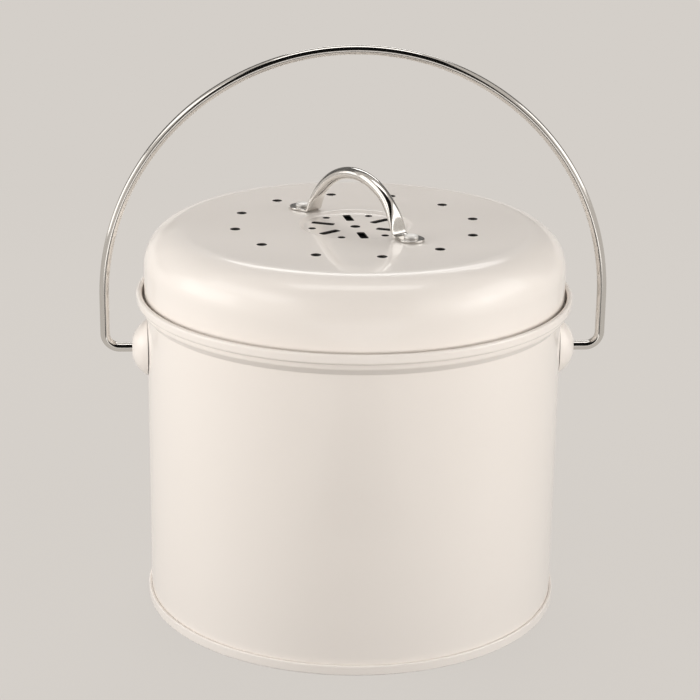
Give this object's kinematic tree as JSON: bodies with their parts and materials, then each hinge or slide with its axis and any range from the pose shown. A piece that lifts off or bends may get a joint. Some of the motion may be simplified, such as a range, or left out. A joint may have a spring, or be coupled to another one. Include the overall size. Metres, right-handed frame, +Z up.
{
  "type": "compost caddy",
  "caption": "Round cream steel compost caddy with a rolled rim, a vented lift-off lid with a bar handle, and a swinging wire bail.",
  "frame": {"origin": "centre of the bucket's foot, on the surface it stands on", "axes": "+Z up along the bucket's axis, +X along the bail's pivot axis to the right ear, -Y to the front"},
  "size_m": [0.2114, 0.1806, 0.2361],
  "materials": {
    "cream_coat": "semi-gloss powder coat on sheet steel",
    "stainless_wire": "bright drawn stainless wire",
    "stainless_bar": "polished stainless bar",
    "rivet_steel": "polished stainless rivet",
    "carbon_felt": "matt non-woven felt"
  },
  "bodies": {
    "bucket": {"bucket_wall": "cream_coat", "bucket_base": "cream_coat", "ear_left": "cream_coat", "ear_right": "cream_coat"},
    "bail": {"bail_wire": "stainless_wire"},
    "lid": {"lid_shell": "cream_coat", "lid_handle": "stainless_bar", "handle_rivets": "rivet_steel", "filter_clip_1": "cream_coat", "filter_clip_2": "cream_coat", "filter_clip_3": "cream_coat", "filter_clip_4": "cream_coat", "charcoal_filter": "carbon_felt"}
  },
  "joints": [
    {"name": "lid_lift", "type": "slide", "parent": "bucket", "child": "lid", "axis": [0, 0, 1], "range_m": [0, 0.03]},
    {"name": "bail_swing", "type": "hinge", "parent": "bucket", "child": "bail", "pos_m": [0, 0, 0.109], "axis": [1, 0, 0], "range_deg": [-135, 135]}
  ]
}
